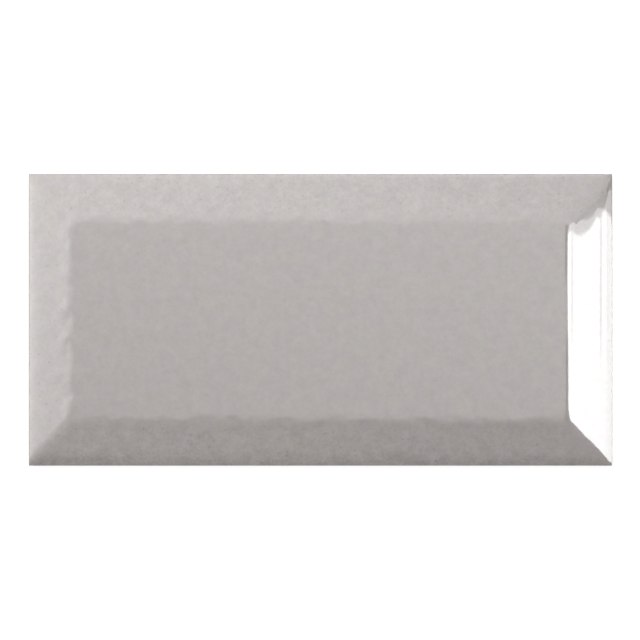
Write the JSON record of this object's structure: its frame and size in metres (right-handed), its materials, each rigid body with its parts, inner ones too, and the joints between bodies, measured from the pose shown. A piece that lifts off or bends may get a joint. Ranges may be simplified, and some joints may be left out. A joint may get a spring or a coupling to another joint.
{
  "type": "bevelled wall tile",
  "caption": "Rectangular glazed ceramic wall tile with bevelled edges round a raised flat field, and a recessed key grid on its back for bedding in adhesive.",
  "frame": {"origin": "centre of the tile's back, on the plane of the key ribs", "axes": "+X along the length, +Y along the width, +Z out of the glazed face"},
  "size_m": [0.2, 0.1, 0.0075],
  "materials": {
    "grey_glaze": "gloss"
  },
  "bodies": {
    "root": {"tile": "grey_glaze"}
  },
  "joints": []
}
